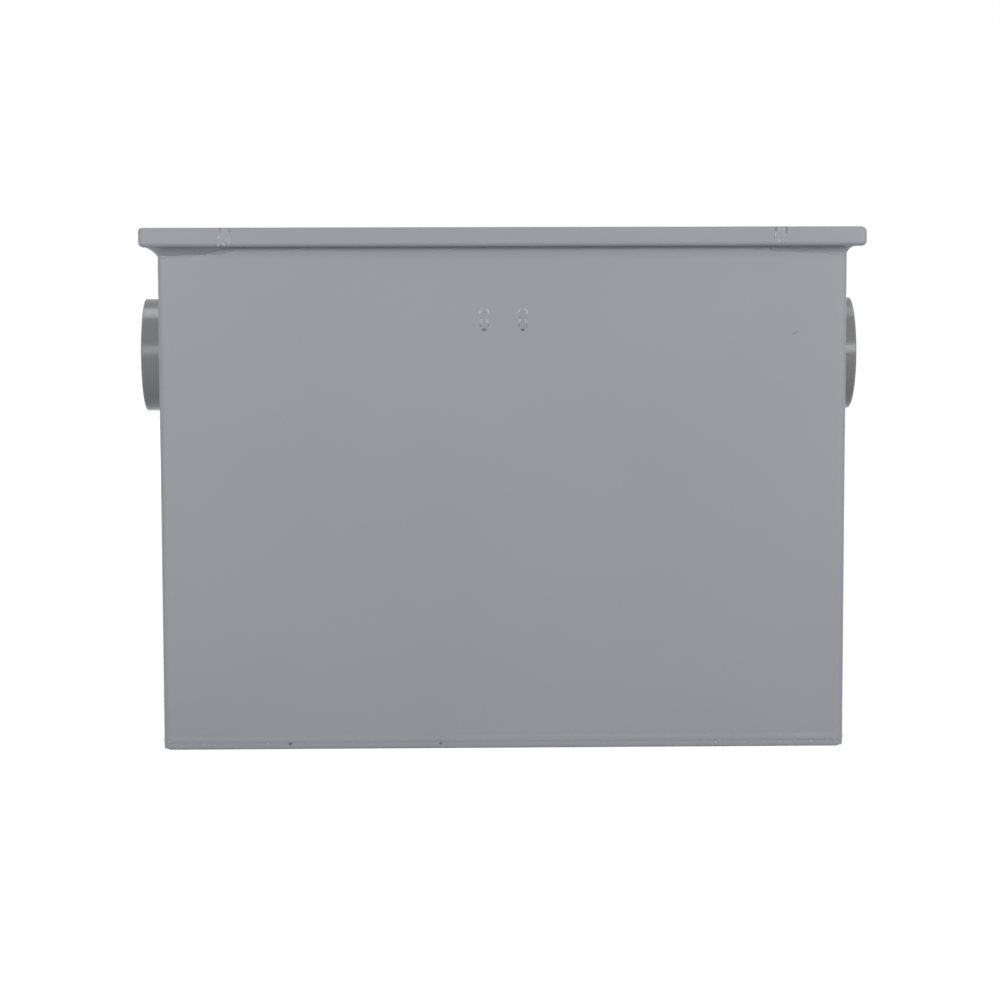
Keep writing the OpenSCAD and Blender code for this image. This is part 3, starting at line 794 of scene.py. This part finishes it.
def wall_marks():
    """Painted shade in pores and flecks with a pale painted highlight along the bottom weld and the coves,
    and a chip and specks in the paint.
    """
    seam_out = 0.12 * MM
    pore_height = 0.12 * MM
    glint_fleck_height = 0.25 * MM
    film = 0.05 * MM
    speck_r = 0.75 * MM
    wall = -half_w
    seam_y = wall - seam_out
    out = (0, -1, 0)
    # Discs of painted shade in the mouths of the seam's pores
    for name, x, z, r, flat in SEAM_PORE_SHADES:
        blob(name, (x * MM, seam_y, z * MM), out, r * MM, pore_height, x, PORE_SHADE, flat=flat)
    # The pale paint on these flecks is a painted highlight
    glint_flecks = RESTART_GLINT_FLECKS + SEAM_GLINT_FLECKS + CORNER_GLINT_FLECKS + COVE_GLINT_FLECKS
    for i, (x, z, r, flat, tilt) in enumerate(glint_flecks):
        at = (x * MM, seam_y, z * MM)
        blob(f"wall_fleck_{i}", at, out, r * MM, glint_fleck_height, 30 + i, GLINT_PAINT, flat, tilt)
    for i, (x, z, r) in enumerate(CHIP_SPOTS):
        blob(f"paint_chip_{i}", (x * MM, wall, z * MM), out, r * MM, film, 41 + i, CHIP, flat=0.8)
    for i, (x, z) in enumerate(SPECK_SPOTS):
        blob(f"paint_speck_{i}", (x * MM, wall, z * MM), out, speck_r, film, 51 + i, SPECK)


# Welds on the rear wall and inside the tank

REAR_SEAM_X = -60 * MM
# How far the middle of an inner fillet lies from the corner that it fills
HOOD_WELD_OFF = 0.8 * MM
TACK_OFF = 0.5 * MM
TACK_L = 22 * MM
TACK_SHARES = (0.12, 0.5, 0.85)


def rear_seam():
    """Upright weld that closes the folded wall sheet, off the middle of the rear wall."""
    gap_below = 4 * MM
    gap_above = 1 * MM
    low = seam_z + gap_below
    high = SHELF_Z - gap_above
    stations = straight((REAR_SEAM_X, half_w, low), (REAR_SEAM_X, half_w, high), (1, 0, 0), (0, 1, 0))
    bead("rear_seam_weld", stations, width=5.0 * MM, height=0.6 * MM, seed=97, uneven_share=0.3,
         ripple_share=0.4)


def hood_welds(lean):
    """Fillets down the two sides of the outlet hood, and round its clean-out boss."""
    wall_x = half_l - SHEET_T - HOOD_WELD_OFF
    for sy in (-1, 1):
        y = sy * (hood_hi.y + HOOD_WELD_OFF)
        out = (-math.cos(lean), sy * math.sin(lean), 0)
        along = (math.sin(lean), sy * math.cos(lean), 0)
        stations = straight((wall_x, y, hood_lo.z), (wall_x, y, hood_hi.z), along, out)
        bead(f"hood_weld_{WALL_NAME[sy]}", stations, width=4.0 * MM, height=0.8 * MM, seed=101 + sy,
             across=8)
    boss_r = (boss_hi.z - boss_lo.z) / 2
    centre = (boss_hi.x - HOOD_WELD_OFF, 0, pipe_z)
    stations = ring_stations(centre, (-1, 0, 0), boss_r + HOOD_WELD_OFF, lean, count=240)
    bead("boss_weld", stations, width=3.6 * MM, height=0.8 * MM, seed=111, closed=True, across=8)


def guide_tacks(lean):
    """Three short fillets along the outer side of each baffle guide."""
    seed = 120
    for subpart in frame["record"]["subparts"]:
        name = subpart["node"]
        if "_guide_" not in name:
            continue
        lo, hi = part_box(name)
        sy = 1 if lo.y > 0 else -1
        away = -1 if name.endswith("upstream") else 1
        x = (lo.x if away < 0 else hi.x) + away * TACK_OFF
        y = sy * (half_w - SHEET_T - TACK_OFF)
        out = (away * math.cos(lean), -sy * math.sin(lean), 0)
        along = (away * math.sin(lean), sy * math.cos(lean), 0)
        for share in TACK_SHARES:
            z = lo.z + (hi.z - lo.z) * share
            stations = straight((x, y, z - TACK_L / 2), (x, y, z + TACK_L / 2), along, out)
            bead(f"{name}_tack_{round(share * 100)}", stations, width=3.0 * MM, height=0.7 * MM,
                 seed=seed, across=6)
            seed += 1


def inner_welds():
    """Welds seen when the cover is off."""
    lean = math.radians(45)
    hood_welds(lean)
    guide_tacks(lean)


bottom_seam()
rim_butt_welds()
cove_welds()
stub_welds()
plug_welds()
wall_marks()
rear_seam()
inner_welds()


# Camera at the photograph's viewing angle

CAMERA_AT = (-44.2 * MM, -2078.6 * MM, 360.4 * MM)
YAW = math.radians(-1.242)
PITCH = math.radians(5.280)
ROLL = math.radians(-0.143)
FOCAL_PX = 2627.0
IMAGE_PX = 1000
SENSOR_W = 36.0
VIEW_DEPTH = 50.0


def camera():
    """Camera turned by its yaw, pitch and roll."""
    data = bpy.data.cameras.new("camera")
    data.sensor_width = SENSOR_W
    data.lens = FOCAL_PX / IMAGE_PX * SENSOR_W
    data.clip_end = VIEW_DEPTH
    obj = bpy.data.objects.new("camera", data)
    look = Matrix.Rotation(YAW, 4, "Z") @ Matrix.Rotation(math.pi / 2 - PITCH, 4, "X")
    obj.matrix_world = Matrix.Translation(CAMERA_AT) @ look @ Matrix.Rotation(ROLL, 4, "Z")
    bpy.context.scene.collection.objects.link(obj)
    bpy.context.scene.camera = obj


# Floor, world and lights

FLOOR_HALF = 6.0
# Distances from the tank's middle between which the floor's glow rises, and that glow
GLOW_REACH = (0.55, 1.1)
GLOW = (0.95, 1.0)
FLOOR_SHEEN = (0.2, 0.2, 0.2)
# Colour that the floor throws back on the tank, by distance from the tank's middle
FLOOR_SHADES = [(0.30, (0.17, 0.21, 0.24)), (0.75, (0.30, 0.31, 0.32))]
WORLD_COLOUR = (0.96, 0.97, 1.0)
WORLD_STRENGTH = 0.19
WHITE = (1, 1, 1)

# Softboxes: name, place, what it is aimed at, width, depth and watts
SOFTBOXES = (
    ("top_left", (-0.52, 0.15, 2.3), (-0.52, 0.15, 0), 0.5, 0.93, 6.3),
    ("top_right", (0.58, 0.15, 2.3), (0.58, 0.15, 0), 0.5, 0.93, 3.6),
    ("front_left", (-1.3, -3.0, 0.85), (0, 0, 0.25), 1.5, 0.9, 26),
    ("front_right", (1.3, -3.0, 0.85), (0, 0, 0.25), 1.5, 0.9, 26),
    ("side_left", (-1.8, -0.95, 0.75), (0, 0, 0.3), 0.35, 0.6, 6),
    ("side_right", (1.8, -0.95, 0.75), (0, 0, 0.3), 0.35, 0.6, 8.5),
    ("rear", (0, 3.0, 1.0), (0, 0, 0.25), 2.2, 0.9, 34),
)


def seen_directly(tree):
    """1 for a ray from the camera, off gloss or through something clear, and 0 for spread light."""
    path = tree.nodes.new("ShaderNodeLightPath")
    total = path.outputs["Is Camera Ray"]
    for kind in ("Is Glossy Ray", "Is Transmission Ray"):
        either = tree.nodes.new("ShaderNodeMath")
        either.operation = "MAXIMUM"
        tree.links.new(total, either.inputs[0])
        tree.links.new(path.outputs[kind], either.inputs[1])
        total = either.outputs[0]
    return total


def pick(tree, plain, white, out):
    """Shows one shader to spread light and the other to rays that see it directly."""
    mix = tree.nodes.new("ShaderNodeMixShader")
    tree.links.new(seen_directly(tree), mix.inputs["Fac"])
    tree.links.new(plain, mix.inputs[1])
    tree.links.new(white, mix.inputs[2])
    tree.links.new(mix.outputs[0], out)


def floor_material():
    """White to the eye but for the tank's shadow close to it, and grey to the light that it spreads."""
    mat = bpy.data.materials.new("floor")
    mat.use_nodes = True
    tree = mat.node_tree
    tree.nodes.clear()
    coords = tree.nodes.new("ShaderNodeTexCoord")
    away = tree.nodes.new("ShaderNodeVectorMath")
    away.operation = "LENGTH"
    tree.links.new(coords.outputs["Object"], away.inputs[0])
    glow = tree.nodes.new("ShaderNodeEmission")
    strength = value_range(tree, away.outputs["Value"], *GLOW, *GLOW_REACH)
    tree.links.new(strength, glow.inputs["Strength"])
    sheen = tree.nodes.new("ShaderNodeBsdfDiffuse")
    sheen.inputs["Color"].default_value = (*FLOOR_SHEEN, 1)
    seen = tree.nodes.new("ShaderNodeAddShader")
    tree.links.new(glow.outputs[0], seen.inputs[0])
    tree.links.new(sheen.outputs[0], seen.inputs[1])
    lit = tree.nodes.new("ShaderNodeBsdfDiffuse")
    tree.links.new(ramp(tree, away.outputs["Value"], FLOOR_SHADES), lit.inputs["Color"])
    out = tree.nodes.new("ShaderNodeOutputMaterial")
    pick(tree, lit.outputs[0], seen.outputs[0], out.inputs["Surface"])
    return mat


def shadow_floor():
    """Wide flat floor under the tank."""
    s = FLOOR_HALF
    mesh = bpy.data.meshes.new("floor")
    mesh.from_pydata([(-s, -s, 0), (s, -s, 0), (s, s, 0), (-s, s, 0)], [], [(0, 1, 2, 3)])
    mesh.update()
    obj = bpy.data.objects.new("floor", mesh)
    bpy.context.scene.collection.objects.link(obj)
    mesh.materials.append(floor_material())


def world():
    """Faint even light all round, which looks white when seen directly."""
    scene_world = bpy.data.worlds.new("studio")
    bpy.context.scene.world = scene_world
    scene_world.use_nodes = True
    tree = scene_world.node_tree
    tree.nodes.clear()
    plain = tree.nodes.new("ShaderNodeBackground")
    plain.inputs["Color"].default_value = (*WORLD_COLOUR, 1)
    plain.inputs["Strength"].default_value = WORLD_STRENGTH
    white = tree.nodes.new("ShaderNodeBackground")
    white.inputs["Color"].default_value = (*WHITE, 1)
    out = tree.nodes.new("ShaderNodeOutputWorld")
    pick(tree, plain.outputs[0], white.outputs[0], out.inputs["Surface"])


def softbox(name, at, aim, width, depth, watts):
    """Rectangular light that looks from its place towards its aim."""
    data = bpy.data.lights.new(name, "AREA")
    data.shape = "RECTANGLE"
    data.size = width
    data.size_y = depth
    data.energy = watts
    obj = bpy.data.objects.new(name, data)
    obj.location = at
    obj.rotation_euler = (Vector(aim) - Vector(at)).to_track_quat("-Z", "Y").to_euler()
    bpy.context.scene.collection.objects.link(obj)


bpy.context.scene.view_settings.view_transform = "Standard"
camera()
shadow_floor()
world()
for box in SOFTBOXES:
    softbox(*box)
